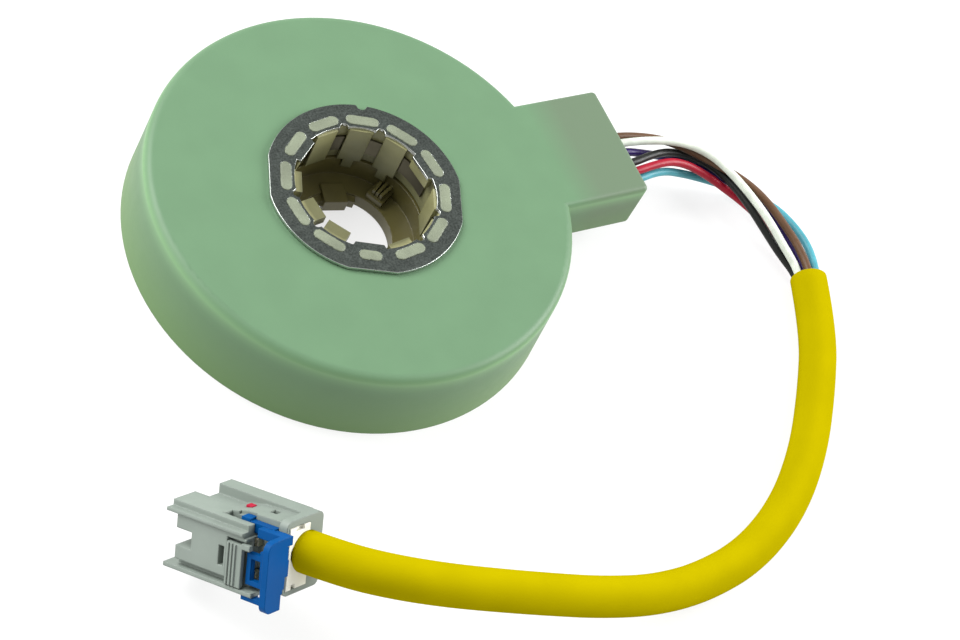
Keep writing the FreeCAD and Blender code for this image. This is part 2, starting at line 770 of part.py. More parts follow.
def make_output_rotor():
    body = new_body("OutputRotor")
    section = new_sketch(body, "OutputSection", "XZ_Plane")
    bore = size("shaft_hole_radius")
    outer = size("rotor_outer_radius")
    inner = size("output_inner_radius")
    base = size("output_base")
    draw_outline(section, [(bore, base), (outer, base), (outer, output_flange_low),
                           (size("flange_radius"), output_flange_low),
                           (size("flange_radius"), output_flange_top), (outer, output_flange_top),
                           (outer, board_low), (inner, board_low), (inner, size("output_shelf")),
                           (bore, size("output_shelf"))])
    turn_about_axis(body, "Revolution", section)

    # the key stands into the shaft hole, with a scalloped and stepped edge
    key = new_sketch(body, "Key", "XY_Plane", height=size("key_bottom"))
    draw_outline(key, turned_rectangle(size("key_reach"), bore + 1.5, 4.6, 78.5))
    key_height = size("key_top") - size("key_bottom")
    extrude(body, "Pad", key, key_height)
    flanks = new_sketch(body, "KeyFlanks", "XY_Plane", height=size("key_bottom"))
    draw_outline(flanks, turned_rectangle(size("key_reach") + 1.4, bore + 1.5, 3.0, 60.0))
    draw_outline(flanks, turned_rectangle(size("key_reach") + 1.4, bore + 1.5, 3.0, 97.0))
    extrude(body, "Pad", flanks, key_height - 0.9)

    # a ribbed block stands on the shelf
    block = new_sketch(body, "RibBlock", "XY_Plane", height=size("output_shelf") - 0.5)
    draw_outline(block, turned_rectangle(bore + 0.4, inner + 0.5, 3.6, 31.0))
    extrude(body, "Pad", block, 1.9)
    ribs = new_sketch(body, "Ribs", "XY_Plane", height=size("output_shelf") + 0.5)
    for angle in (26.5, 31.0, 35.5):
        draw_outline(ribs, turned_rectangle(bore + 0.9, inner + 0.5, 0.6, angle))
    extrude(body, "Pad", ribs, 2.2)

    lugs = new_sketch(body, "StopLugs", "XY_Plane", height=board_low - 0.5)
    for step in (0, 4):
        draw_outline(lugs, turned_rectangle(size("hub_inner_radius") + 0.2, size("hub_radius") - 0.2,
                                            size("stop_width"), stop_angle + PATTERN_STEP * step))
    lug_top = size("hub_bottom") + size("stop_height") - bearing_gap
    extrude(body, "Pad", lugs, lug_top - board_low + 0.5)
    keep(body, "output_rotor")


def make_circuit_board():
    inner_wall = size("disc_radius") - size("shell_wall")
    disc = cylinder("BoardDisc", inner_wall - size("board_rim_gap"), (board_low, board_high))
    half = size("tongue_width") / 2
    tongue = box("BoardTongue", (0, header_front), (-half, half), (board_low, board_high))
    tools = [cylinder("BoardHole", size("board_hole_radius"), (board_low - 1, board_high + 1))]
    for i in range(POSTS):
        angle = size("post_first_angle") + 360.0 / POSTS * i
        tools.append(cylinder("PinHole%d" % (i + 1), size("pin_radius") + size("pin_fit"),
                              (board_low - 1, board_high + 1), post_ring_radius * cosine(angle),
                              post_ring_radius * sine(angle)))
    board = take_away("Board", join("BoardBlank", [disc, tongue]), join("BoardHoles", tools))
    keep(board, "circuit_board")


def make_sensor_chips():
    """Two chips and two pairs of capacitors, in the board's open ring outside the targets."""
    chips = []
    ring = (size("flange_radius") + size("disc_radius") - size("shell_wall")) / 2
    beside = size("chip_side") + size("chip_gap")
    chip = (size("chip_side"), size("chip_side"), size("chip_height"))
    upright = (size("capacitor_length"), size("capacitor_width"), size("capacitor_height"))
    level = (size("capacitor_width"), size("capacitor_length"), size("capacitor_height"))
    for x, y, sides in ((-ring, 0.0, chip), (0.0, ring, chip), (-ring, beside, upright),
                        (-ring, -beside, upright), (beside, ring, level), (-beside, ring, level)):
        half_x = sides[0] / 2
        half_y = sides[1] / 2
        chips.append(box("Chip%d" % (len(chips) + 1), (x - half_x, x + half_x), (y - half_y, y + half_y),
                         (board_high, board_high + sides[2])))
    keep(group("SensorChips", chips), "sensor_chips")


def make_wire_header():
    half = size("header_width") / 2
    block = box("WireHeader", (header_front - size("header_length"), header_front), (-half, half),
                (board_high, board_high + size("header_height")))
    keep(block, "wire_header")


def make_wire_plug():
    gap = size("plug_fit")
    end = size("box_reach") - size("plug_setback")
    start = end - size("plug_length")
    block = box("PlugBlock", (start, end), (-box_half_inside + gap, box_half_inside - gap),
                (box_inner_low + gap, roof_inside - gap))
    holes = []
    for i, (y, z) in enumerate(WIRE_EXITS.values()):
        hole = doc.addObject("Part::Cylinder", "WireHole%d" % (i + 1))
        bind(hole, "Radius", size("wire_diameter") / 2 + size("wire_fit"))
        bind(hole, "Height", size("plug_length") + 2)
        hole.Placement = Placement(Vector(), Rotation(Vector(0, 1, 0), 90))
        bound_placement(hole, start - 1, y, z)
        holes.append(hole)
    keep(take_away("WirePlug", block, join("WireHoles", holes)), "wire_plug")


def rounded_path(points):
    """Straight runs joined by tangent arcs, each as large as its runs allow."""
    edges = []
    radii = []
    start = points[0]
    for i in range(1, len(points) - 1):
        back = points[i - 1] - points[i]
        ahead = points[i + 1] - points[i]
        turn = math.pi - back.getAngle(ahead)
        reach = 0.45 * min(back.Length, ahead.Length)
        radius = reach / math.tan(turn / 2)
        back.normalize()
        ahead.normalize()
        first = points[i] + back * reach
        last = points[i] + ahead * reach
        inward = back + ahead
        inward.normalize()
        centre = points[i] + inward * math.hypot(radius, reach)
        middle = centre - inward * radius
        edges.append(Part.LineSegment(start, first).toShape())
        edges.append(Part.Arc(first, middle, last).toShape())
        radii.append(radius)
        start = last
    edges.append(Part.LineSegment(start, points[-1]).toShape())
    return Part.Wire(edges), radii


def make_tube(label, points, diameter):
    """A cord's solid. Its volume is compared with its section times its length."""
    path, radii = rounded_path(points)
    heading = points[1] - points[0]
    section = Part.Wire([Part.Circle(points[0], heading, diameter / 2).toShape()])
    solid = path.makePipeShell([section], True, False)
    expected = math.pi * diameter ** 2 / 4 * path.Length
    print("%s: length %.1f, smallest radius %.1f, volume %.2f of %.2f"
          % (label, path.Length, min(radii), solid.Volume, expected))
    if abs(solid.Volume - expected) > 0.01 * expected:
        raise ValueError("the tube's volume is wrong: " + label)
    return solid


def keep_shape(name, label, shape):
    item = doc.addObject("Part::Feature", name)
    item.Shape = shape
    keep(item, label)


def make_wires():
    for label, (y, z) in WIRE_EXITS.items():
        points = [Vector(header_front.value, y, z), Vector(WIRE_FIRST_BEND, y, z)]
        points += [Vector(*point) for point in WIRE_ROUTES[label]]
        keep_shape(label.title().replace("_", ""), label,
                   make_tube(label, points, SIZES["wire_diameter"]))


def plug_placement():
    """Where the connector lies: tipped on its side, its nose down on the floor and its tail raised."""
    nose_corners = [Vector(), Vector(0, SIZES["plug_body_width"], 0)]
    yaw = math.radians(SIZES["plug_yaw"])
    pitch = math.radians(SIZES["plug_pitch"])
    roll = math.radians(SIZES["plug_roll"])
    along = Vector(math.cos(pitch) * math.cos(yaw), math.cos(pitch) * math.sin(yaw), math.sin(pitch))
    level = Vector(-math.sin(yaw), math.cos(yaw), 0)
    upright = along.cross(level)
    across = level * math.cos(roll) + upright * math.sin(roll)
    up = along.cross(across)
    place = Placement(Matrix(along.x, across.x, up.x, 0, along.y, across.y, up.y, 0,
                             along.z, across.z, up.z, 0, 0, 0, 0, 1))
    top_corner = place.multVec(Vector(0, 0, SIZES["plug_lip_height"]))
    lowest = min(place.multVec(corner).z for corner in nose_corners)
    place.Base = Vector(SIZES["plug_place_x"] - top_corner.x, SIZES["plug_place_y"] - top_corner.y,
                        SIZES["plug_floor_gap"] - lowest)
    return place


def make_sleeve(place):
    """The tube starts inside the insert at a slant and is cut off flush with the insert's rear face."""
    rear = SIZES["plug_body_length"] + SIZES["frame_thickness"] + SIZES["insert_proud"]
    width = (SIZES["frame_left"] + SIZES["frame_right"]) / 2
    height = SIZES["sleeve_axis_height"]
    points = [place.multVec(Vector(rear - SIZES["sleeve_start_inside"], width, height))]
    points += [Vector(*point) for point in SLEEVE_ROUTE]
    solid = make_tube("sleeve", points, SIZES["sleeve_diameter"])
    mouth = points[-1]
    inward = points[-2] - mouth
    inward.normalize()
    start = mouth - inward * 1.0
    recess = Part.makeCylinder(SIZES["sleeve_bore"] / 2, SIZES["mouth_depth"] + 1.0, start, inward)
    inside = Part.makeBox(rear, 2 * SIZES["plug_body_width"], 2 * SIZES["plug_body_width"],
                          Vector(0, -SIZES["plug_body_width"] / 2, -SIZES["plug_body_width"] / 2))
    inside.Placement = place.multiply(inside.Placement)
    keep_shape("Sleeve", "sleeve", solid.cut(recess).cut(inside))
    for i, point in enumerate(points):
        print("sleeve point %d: %.1f %.1f %.1f" % (i, point.x, point.y, point.z))


def cut_block(body, name, along, across, up):
    """Cut a plain block out of the connector's body."""
    sketch = new_sketch(body, name, "YZ_Plane", height=along[0])
    draw_outline(sketch, rectangle(across[0], across[1], up[0], up[1]))
    extrude(body, "Pocket", sketch, Size.of(along[1]) - along[0], reverse=True)


def add_block(body, name, along, across, up):
    """Add a plain block to the connector's body."""
    sketch = new_sketch(body, name, "YZ_Plane", height=along[0])
    draw_outline(sketch, rectangle(across[0], across[1], up[0], up[1]))
    extrude(body, "Pad", sketch, Size.of(along[1]) - along[0])


def make_connector_body(place):
    width = size("plug_body_width")
    lip_width = size("plug_lip_width")
    lip_top = size("plug_lip_height")
    lip_low = lip_top - size("plug_lip_thickness")
    deck = size("plug_deck_height")
    rail_top = size("plug_rail_height")
    rail_side = width - size("plug_rail_width")
    floor_top = size("plug_floor")
    setin = size("plug_setin")
    rear = size("plug_body_length")
    outside = -1.0
    clear = 2.0

    body = new_body("ConnectorBody")
    section = new_sketch(body, "PlugSection", "YZ_Plane")
    draw_outline(section, [(0, 0), (width, 0), (width, rail_top), (rail_side, rail_top), (rail_side, deck),
                           (lip_width, deck), (lip_width, lip_top), (0, lip_top), (0, lip_low),
                           (setin, lip_low), (setin, floor_top), (0, floor_top)])
    extrude(body, "Pad", section, rear)

    ramp = new_sketch(body, "DeckRamp", "XZ_Plane", height=-rail_side)
    ramp_low = deck - 0.2
    draw_outline(ramp, [(size("ramp_start"), ramp_low), (rear, ramp_low), (rear, deck + size("ramp_end_height")),
                        (size("ramp_crest"), deck + size("ramp_height"))])
    extrude(body, "Pad", ramp, rail_side - size("strip_width"))

    frame = new_sketch(body, "RearFrame", "YZ_Plane", height=rear)
    draw_rounded(frame, size("frame_left"), size("frame_right"), 0, rail_top, size("frame_edge_round"))
    extrude(body, "Pad", frame, size("frame_thickness"))

    gap = size("insert_fit")
    cut_block(body, "FrameOpening", (rear, rear + size("frame_thickness")),
              (size("insert_left") - gap, size("insert_right") + gap),
              (size("insert_bottom") - gap, size("insert_top") + gap))

    # the nose: its face stands back under the lip, with a slot across and a step before the rail
    cut_block(body, "NoseSetback", (0, size("nose_setback")), (outside, width + 1), (floor_top, lip_low))
    cut_block(body, "NoseSlot", (0, size("nose_slot_length")), (outside, width + 1),
              (size("nose_slot_low"), size("nose_slot_high")))
    cut_block(body, "RailFront", (outside, size("plug_rail_setback")), (width * 5 / 9, width + 1),
              (lip_low - 0.2, rail_top + 1))

    # room for the lock along the near side, under the deck and in the deck's slot
    fit = size("lock_fit")
    arm_near = size("strip_width")
    arm_far = arm_near + size("lock_arm_slot")
    side_far = size("frame_left") - fit
    strip_end = rear - size("strip_setback")
    arm_start = rear - size("lock_arm_length")
    travel = size("lock_travel")
    under_arm = deck - size("lock_arm_depth")
    web_start = rear - travel - fit
    cut_block(body, "UnderGap", (0, rear), (outside, size("well_depth") - 0.5),
              (floor_top, size("lock_box_low") + fit))
    cut_block(body, "StripEnd", (strip_end, rear), (outside, arm_far), (under_arm - 0.3, deck + clear))
    cut_block(body, "SidePocket", (strip_end + 0.6, rear), (outside, side_far), (floor_top, under_arm))
    cut_block(body, "FloorEnd", (web_start, rear), (outside, side_far), (outside, floor_top + 0.1))
    cut_block(body, "ArmSlot", (arm_start - 2 * travel, strip_end + 0.1), (arm_near, arm_far),
              (under_arm, deck + clear))
    cut_block(body, "TabRecess", (arm_start - travel - fit, arm_start + size("lock_tab_length") + fit),
              (arm_far - 0.1, arm_far + size("lock_tab_reach") + fit), (deck, deck + clear))
    well_start = rear - size("well_length")
    cut_block(body, "LatchWell", (well_start, strip_end + 0.7), (outside, size("well_depth")),
              (floor_top, size("well_top")))
    cut_block(body, "SideWindow", (well_start - 1.6, well_start - 0.5), (outside, arm_near + 0.4),
              (contact_low + 0.5, size("nose_slot_high") - 0.3))

    # openings in the top for the pin and behind it
    half = size("square_hole") / 2
    across = size("lock_pin_width")
    centre = size("square_hole_length")
    cut_block(body, "SquareHole", (centre - half, centre + half), (across - half, across + half),
              (under_arm, deck + clear))
    half = size("lock_pin_side") / 2 + fit
    centre = size("lock_pin_length")
    cut_block(body, "PinHole", (centre - half, centre + half), (across - half, across + half),
              (deck - size("lock_pin_depth"), deck + clear))
    for i, (y, z) in enumerate(contact_places()):
        half = size("contact_side") / 2 + fit
        cut_block(body, "Cavity%d" % (i + 1), (0, rear), (y - half, y + half), (z - half, z + half))

    # latch pad with three ribs, a nub behind its top and a root that holds it in the well
    start = rear - size("thumb_setback")
    end = start + size("thumb_length")
    outer = -size("thumb_outside")
    inner = size("thumb_inside")
    low = size("thumb_low")
    high = size("thumb_high")
    add_block(body, "ThumbPad", (start, end), (outer, inner), (low, high))
    for i in range(3):
        rib = start + 0.15 + 0.7 * i
        add_block(body, "ThumbRib%d" % (i + 1), (rib, rib + 0.4), (outer - size("thumb_rib"), 0.0),
                  (low + 0.1, high - 0.1))
    add_block(body, "ThumbNub", (end - 0.2, end + 1.5), (outer, inner), (high - 0.6, high + 0.3))
    add_block(body, "ThumbRoot", (start + 0.3, rear - size("lock_box_length") - travel - fit),
              (inner - 0.1, size("well_depth") + 0.2), (low + 1.1, high - 1.7))
    keep(body, "connector_body", place)


def contact_places():
    """Width and height of each contact: three above the slot and three below."""
    first = size("contact_first")
    return [(first + size("contact_step") * i, row) for row in (contact_high, contact_low) for i in range(3)]


def make_terminals(place):
    items = []
    half = size("contact_side") / 2
    start = size("contact_start")
    for i, (y, z) in enumerate(contact_places()):
        items.append(box("Contact%d" % (i + 1), (start, start + size("contact_length")), (y - half, y + half),
                         (z - half, z + half)))
    keep(group("Terminals", items), "terminals", place)


def make_lock_pin(place):
    half = size("lock_pin_side") / 2
    deck = size("plug_deck_height")
    along = size("lock_pin_length")
    across = size("lock_pin_width")
    pin = box("LockPin", (along - half, along + half), (across - half, across + half),
              (deck - size("lock_pin_depth"), deck + size("lock_pin_height")))
    keep(group("LockPinPart", [pin]), "lock_pin", place)


def make_carrier(place):
    start = size("plug_body_length")
    end = start + size("frame_thickness") + size("insert_proud")
    block = box("InsertBlock", (start, end), (size("insert_left"), size("insert_right")),
                (size("insert_bottom"), size("insert_top")))
    middle = (size("insert_left") + size("insert_right")) / 2
    passage = doc.addObject("Part::Cylinder", "WirePassage")
    bind(passage, "Radius", size("insert_bore") / 2)
    bind(passage, "Height", end - start)
    passage.Placement = Placement(Vector(), Rotation(Vector(0, 1, 0), 90))
    bound_placement(passage, start + size("insert_plate"), middle, size("sleeve_axis_height"))
    step = start + 2 * size("insert_plate")
    notches = [
        box("TopNotchCut", (step, end + 1), (middle - 1.0, middle + 1.0),
            (size("insert_top") - 0.7, size("insert_top") + 1)),
        box("LowNotchCut", (step, end + 1), (middle - 1.3, middle - 0.3),
            (size("insert_bottom") - 1, size("insert_bottom") + 0.8)),
    ]
    insert = take_away("Insert", block, join("InsertCuts", [passage] + notches))
    keep(insert, "terminal_carrier", place)


def make_connector_lock(place):
    """The lock as the plug is supplied: open, before it is pushed forward under the latch pad."""
    rear = size("plug_body_length")
    deck = size("plug_deck_height")
    fit = size("lock_fit")
    wall = size("lock_wall")
    plate_start = rear + size("frame_thickness") + 2 * fit
    plate_end = plate_start + size("lock_plate_thickness")
    plate_middle = (plate_start + plate_end) / 2
    near = -size("lock_plate_near")
    far = size("lock_plate_far")
    drop = -size("lock_plate_drop")

    plate = new_body("LockPlate")
    outline = new_sketch(plate, "LockPlateOutline", "YZ_Plane", height=plate_start)
    step = 0.6
    draw_outline(outline, [(near, drop), (far - 0.8, drop), (far - 0.8, deck * 0.22),
                           (far - 0.1, deck * 0.22), (far - 0.1, deck * 0.4), (far + step, deck * 0.4),
                           (far + step, deck * 0.65), (far + step / 2, deck * 0.65),
                           (far + step / 2, deck * 0.85), (far, deck * 0.85), (far, deck), (near, deck)])
    extrude(plate, "Pad", outline, plate_end - plate_start)
    round_edges(plate, "LockPlateRound", size("lock_plate_round"),
                lambda edge: abs(edge.CenterOfMass.y - float(near)) < 0.01
                and abs(edge.CenterOfMass.x - float(plate_middle)) < 0.01)

    box_near = size("lock_box_near")
    box_far = size("lock_box_far")
    box_low = size("lock_box_low")
    box_high = size("lock_box_high")
    box_start = rear - size("lock_box_length")
    across = (box_near, box_far)
    pieces = [
        plate,
        box("LockBoxTop", (box_start, plate_end), across, (box_high - wall, box_high)),
        box("LockBoxLow", (box_start, plate_end), across, (box_low, box_low + wall)),
        box("LockBoxFront", (box_start, box_start + wall), across, (box_low, box_high)),
        box("LockBoxBack", (rear - wall, plate_end), across, (box_low, box_high)),
        box("LockBlock", (rear - 1.0, plate_end), across, (box_high - 0.2, box_high + wall)),
    ]
    arm_near = size("strip_width") + fit
    arm_far = size("strip_width") + size("lock_arm_slot") - fit
    arm_start = rear - size("lock_arm_length")
    arm_low = deck - size("lock_arm_depth") + fit
    arm_top = deck + 1.5 * fit
    pieces.append(box("LockArm", (arm_start, rear - 2 * fit), (arm_near, arm_far), (arm_low, arm_top)))
    behind_strip = rear - size("strip_setback") + size("lock_travel") + fit
    pieces.append(box("LockArmRear", (behind_strip, plate_end), (far - 0.6, size("frame_left") - 2 * fit),
                      (arm_low, deck)))
    tab_far = size("strip_width") + size("lock_arm_slot") + size("lock_tab_reach")
    pieces.append(box("LockTab", (arm_start, arm_start + size("lock_tab_length")), (arm_near, tab_far),
                      (deck + fit / 2, deck + size("lock_tab_height"))))
    foot_start = rear - size("lock_foot_length")
    foot_near = size("plug_setin")
    foot_far = foot_near + size("lock_foot_width")
    pieces.append(box("LockFoot", (foot_start, foot_start + 1.8), (foot_near, foot_far), (drop, -fit)))
    pieces.append(box("LockFootArm", (foot_start, plate_end), (foot_near, far - 0.8), (drop, -fit)))
    pieces.append(box("LockWeb", (rear - fit, plate_end), (foot_near, far - 0.8), (drop, box_low + fit)))
    keep(join("ConnectorLock", pieces), "connector_lock", place)


make_housing()
make_back_cover()
make_retainer_plate()
make_input_rotor()
make_spring_band()
make_target("TorqueTarget", "torque_target", torque_low, size("collar_radius") + 0.6, TORQUE_LOBES)
make_target("AngleTarget", "angle_target", output_flange_top, size("rotor_outer_radius") + 0.6, ANGLE_LOBES)
make_output_rotor()
make_circuit_board()
make_sensor_chips()
make_wire_header()
make_wire_plug()
make_wires()
connector_place = plug_placement()
make_sleeve(connector_place)
make_connector_body(connector_place)
make_connector_lock(connector_place)
make_carrier(connector_place)
make_lock_pin(connector_place)
make_terminals(connector_place)
doc.recompute()

for item in doc.Objects:
    if "Invalid" in item.State or "Error" in item.State:
        raise RuntimeError("%s did not build: %s" % (item.Name, item.State))
os.makedirs("parts", exist_ok=True)
for label, item in NODES.items():
    shape = item.Shape
    if shape.isNull() or not shape.isValid():
        raise RuntimeError("no valid shape: " + label)
    bounds = shape.BoundBox
    print("%-18s solids %d  volume %9.2f  x %.1f..%.1f  y %.1f..%.1f  z %.2f..%.2f"
          % (label, len(shape.Solids), shape.Volume, bounds.XMin, bounds.XMax, bounds.YMin, bounds.YMax,
             bounds.ZMin, bounds.ZMax))
    shape.exportStep("parts/%s.step" % label)
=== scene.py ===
"""Looks of the steering angle sensor: materials, plate, stakes, leads, sleeve, light and camera round the
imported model.

Named lengths are in millimetres in the row frame, and MM turns them into the scene's metres. A comment says
so where a named length is in metres already.
"""
import json
import math

import bmesh
import bpy
from mathutils import Matrix, Vector, noise


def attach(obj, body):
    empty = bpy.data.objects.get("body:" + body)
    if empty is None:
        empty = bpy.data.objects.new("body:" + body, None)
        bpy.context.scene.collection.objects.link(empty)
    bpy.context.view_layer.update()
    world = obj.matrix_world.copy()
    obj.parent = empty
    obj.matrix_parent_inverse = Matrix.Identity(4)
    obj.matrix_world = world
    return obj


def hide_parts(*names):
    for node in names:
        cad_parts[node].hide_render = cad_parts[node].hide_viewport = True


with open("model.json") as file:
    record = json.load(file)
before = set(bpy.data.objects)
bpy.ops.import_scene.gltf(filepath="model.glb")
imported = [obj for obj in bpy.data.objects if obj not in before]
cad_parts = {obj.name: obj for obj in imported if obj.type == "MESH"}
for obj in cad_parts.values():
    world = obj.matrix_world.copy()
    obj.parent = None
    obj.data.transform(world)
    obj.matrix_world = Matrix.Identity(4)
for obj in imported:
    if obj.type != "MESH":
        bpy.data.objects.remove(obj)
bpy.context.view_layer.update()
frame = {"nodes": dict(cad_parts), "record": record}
NODES = frame["nodes"]

MM = 0.001
# Faces that meet at a larger angle than this have a sharp edge between them.
SHARP_ANGLE = math.radians(28)


def add_object(name, data):
    item = bpy.data.objects.new(name, data)
    bpy.context.scene.collection.objects.link(item)
    return item


def take_mesh(guide):
    """The mesh that a curve object makes. The curve object is removed."""
    bpy.context.view_layer.update()
    mesh = bpy.data.meshes.new_from_object(guide)
    bpy.data.objects.remove(guide)
    return mesh


def ring_faces(first, rings, sides):
    """Faces between rings of points that follow each other from the index first, and a lid on the last."""
    faces = []
    for ring in range(rings - 1):
        low = first + ring * sides
        for k in range(sides):
            after = (k + 1) % sides
            faces.append((low + k, low + after, low + sides + after, low + sides + k))
    last = first + (rings - 1) * sides
    faces.append(tuple(range(last, last + sides)))
    return faces


def shade(mesh):
    """Smooth shading with the sharp edges kept."""
    mesh.shade_smooth()
    mesh.set_sharp_from_angle(angle=SHARP_ANGLE)


# Materials. Every noise has this detail, and a tone or a roughness changes over this part of its values.
NOISE_DETAIL = 3.0
TONE_DRIFT = (0.35, 0.65)
ROUGHNESS_DRIFT = (0.3, 0.7)
BEVEL_SAMPLES = 6
# The colour sockets of a Mix node: two inputs and the output.
MIX_FIRST, MIX_SECOND, MIX_RESULT = 6, 7, 2


def shader_inputs(material):
    return material.node_tree.nodes["Principled BSDF"].inputs


def new_material(name, colour, roughness, metallic=0.0, specular=0.5):
    """A material whose shader has its plain numbers set on the shader's own sockets."""
    material = bpy.data.materials.new(name)
    material.use_nodes = True
    inputs = shader_inputs(material)
    inputs["Base Color"].default_value = (*colour, 1.0)
    inputs["Roughness"].default_value = roughness
    inputs["Metallic"].default_value = metallic
    inputs["Specular IOR Level"].default_value = specular
    return material


def clouds(tree, size_mm):
    """A noise whose clouds or grains are about size_mm across and move with their piece."""
    place = tree.nodes.new("ShaderNodeTexCoord")
    texture = tree.nodes.new("ShaderNodeTexNoise")
    texture.inputs["Scale"].default_value = 1.0 / MM / size_mm
    texture.inputs["Detail"].default_value = NOISE_DETAIL
    tree.links.new(place.outputs["Object"], texture.inputs["Vector"])
    return texture.outputs["Fac"]


def ranged(tree, value, low, high, to_low=0.0, to_high=1.0):
    """A value brought from the range low to high into the range to_low to to_high."""
    spread = tree.nodes.new("ShaderNodeMapRange")
    spread.inputs["From Min"].default_value = low
    spread.inputs["From Max"].default_value = high
    spread.inputs["To Min"].default_value = to_low
    spread.inputs["To Max"].default_value = to_high
    tree.links.new(value, spread.inputs["Value"])
    return spread.outputs["Result"]


def shade_colour(material, dark, light, size_mm):
    """The colour drifts between two tones."""
    tree = material.node_tree
    ramp = tree.nodes.new("ShaderNodeValToRGB")
    for end, (position, tone) in enumerate(zip(TONE_DRIFT, (dark, light))):
        ramp.color_ramp.elements[end].position = position
        ramp.color_ramp.elements[end].color = (*tone, 1.0)
    tree.links.new(clouds(tree, size_mm), ramp.inputs["Fac"])
    tree.links.new(ramp.outputs["Color"], shader_inputs(material)["Base Color"])


def roughen(material, roughness, size_mm, less, more):
    """The roughness drifts from so much less than the given one to so much more."""
    tree = material.node_tree
    drift = ranged(tree, clouds(tree, size_mm), *ROUGHNESS_DRIFT, roughness - less, roughness + more)
    tree.links.new(drift, shader_inputs(material)["Roughness"])


def emboss(material, size_mm, height_mm, edge_mm=0.0):
    """A fine surface grain. With edge_mm the edges are rounded in the shading too."""
    tree = material.node_tree
    bump = tree.nodes.new("ShaderNodeBump")
    bump.inputs["Strength"].default_value = 1.0
    bump.inputs["Distance"].default_value = height_mm * MM
    tree.links.new(clouds(tree, size_mm), bump.inputs["Height"])
    if edge_mm:
        edge = tree.nodes.new("ShaderNodeBevel")
        edge.samples = BEVEL_SAMPLES
        edge.inputs["Radius"].default_value = edge_mm * MM
        tree.links.new(edge.outputs["Normal"], bump.inputs["Normal"])
    tree.links.new(bump.outputs["Normal"], shader_inputs(material)["Normal"])


def scaled(colour, share):
    return tuple(c * share for c in colour)


def tones(colour, spread):
    """The darkest and the lightest tone of a colour."""
    return scaled(colour, 1 - spread), scaled(colour, 1 + spread)


def moulded(name, colour, roughness, grain_mm=0.35, height_mm=0.012, edge_mm=0.22, spread=0.06, specular=0.5,
            uneven=0.06):
    """Moulded plastic or rubber with a fine grain."""
    material = new_material(name, colour, roughness, specular=specular)
    shade_colour(material, *tones(colour, spread), size_mm=9.0)
    roughen(material, roughness, size_mm=2.5, less=uneven, more=uneven)
    emboss(material, grain_mm, height_mm, edge_mm)
    return material


def rolled(name, colour, roughness, spread=0.12, tone_mm=3.0):
    """Rolled and stamped sheet metal."""
    material = new_material(name, colour, roughness, metallic=1.0)
    shade_colour(material, *tones(colour, spread), size_mm=tone_mm)
    roughen(material, roughness, size_mm=1.2, less=0.07, more=0.07)
    emboss(material, size_mm=0.6, height_mm=0.004, edge_mm=0.15)
    return material


def strip(name, colour, roughness):
    """Smooth spring strip, without a grain that would sparkle."""
    material = new_material(name, colour, roughness, metallic=1.0)
    shade_colour(material, *tones(colour, spread=0.05), size_mm=6.0)
    roughen(material, roughness, size_mm=4.0, less=0.04, more=0.04)
    return material


def insulation(name, colour):
    """A wire's extruded coat."""
    roughness = 0.38
    material = new_material(name, colour, roughness, specular=0.25)
    shade_colour(material, *tones(colour, spread=0.08), size_mm=2.0)
    roughen(material, roughness, size_mm=1.0, less=0.05, more=0.08)
    emboss(material, size_mm=0.5, height_mm=0.006)
    return material


def blend_colours(tree, factor, first, second):
    """One colour or socket at factor 0, the other at 1."""
    mix = tree.nodes.new("ShaderNodeMix")
    mix.data_type = "RGBA"
    tree.links.new(factor, mix.inputs["Factor"])
    for socket, colour in ((mix.inputs[MIX_FIRST], first), (mix.inputs[MIX_SECOND], second)):
        if isinstance(colour, tuple):
            socket.default_value = (*colour, 1.0)
        else:
            tree.links.new(colour, socket)
    return mix.outputs[MIX_RESULT]


def place_in_part(tree):
    """The point's place in the row frame, as a vector and as x, y and z."""
    place = tree.nodes.new("ShaderNodeTexCoord").outputs["Object"]
    split = tree.nodes.new("ShaderNodeSeparateXYZ")
    tree.links.new(place, split.inputs["Vector"])
    return place, split.outputs


def distance_from_axis(tree, place):
    flat = tree.nodes.new("ShaderNodeVectorMath")
    flat.operation = "MULTIPLY"
    flat.inputs[1].default_value = (1, 1, 0)
    distance = tree.nodes.new("ShaderNodeVectorMath")
    distance.operation = "LENGTH"
    tree.links.new(place, flat.inputs[0])
    tree.links.new(flat.outputs["Vector"], distance.inputs[0])
    return distance.outputs["Value"]


# The housing's colour changes along x from the disc to the wire box, and in height from the foot to the top:
# towards the foot a painted tint of shade makes the sides yellower.
DISC_TO_BOX = (39.5 * MM, 46.0 * MM)
SHADE_TINT_FOOT_TO_TOP = (1.0 * MM, 15.5 * MM)
# The upper edge is paler from one height to the other: a painted glow of light through the edge. Between them,
# each share is how much of the paler colour there is at a height.
PAINTED_GLOW_START = 11.5
PAINTED_GLOW_END = 16.65
PAINTED_GLOW_SHARES = ((12.8, 0.12), (14.2, 0.5), (15.3, 1.0), (16.2, 0.25))


def housing_plastic(name, roughness, top, box, low, edge):
    """Slightly translucent green plastic: greyer over the hollow wire box, with a painted yellow tint of shade
    low on the sides, and a painted glow of light through the upper edge."""
    material = moulded(name, top, roughness, spread=0.025, specular=0.3, uneven=0.02)
    tree = material.node_tree
    base = shader_inputs(material)["Base Color"]
    mottled = base.links[0].from_socket
    place = place_in_part(tree)[1]
    colour = blend_colours(tree, ranged(tree, place["X"], *DISC_TO_BOX), mottled, box)
    colour = blend_colours(tree, ranged(tree, place["Z"], *SHADE_TINT_FOOT_TO_TOP), low, colour)
    painted_glow = tree.nodes.new("ShaderNodeValToRGB")
    for height, share in PAINTED_GLOW_SHARES:
        stop = painted_glow.color_ramp.elements.new((height - PAINTED_GLOW_START) / (PAINTED_GLOW_END - PAINTED_GLOW_START))
        stop.color = (share, share, share, 1.0)
    painted_glow.color_ramp.elements[-1].color = (0, 0, 0, 1)
    tree.links.new(ranged(tree, place["Z"], PAINTED_GLOW_START * MM, PAINTED_GLOW_END * MM), painted_glow.inputs["Fac"])
    tree.links.new(blend_colours(tree, painted_glow.outputs["Color"], colour, edge), base)
    return material
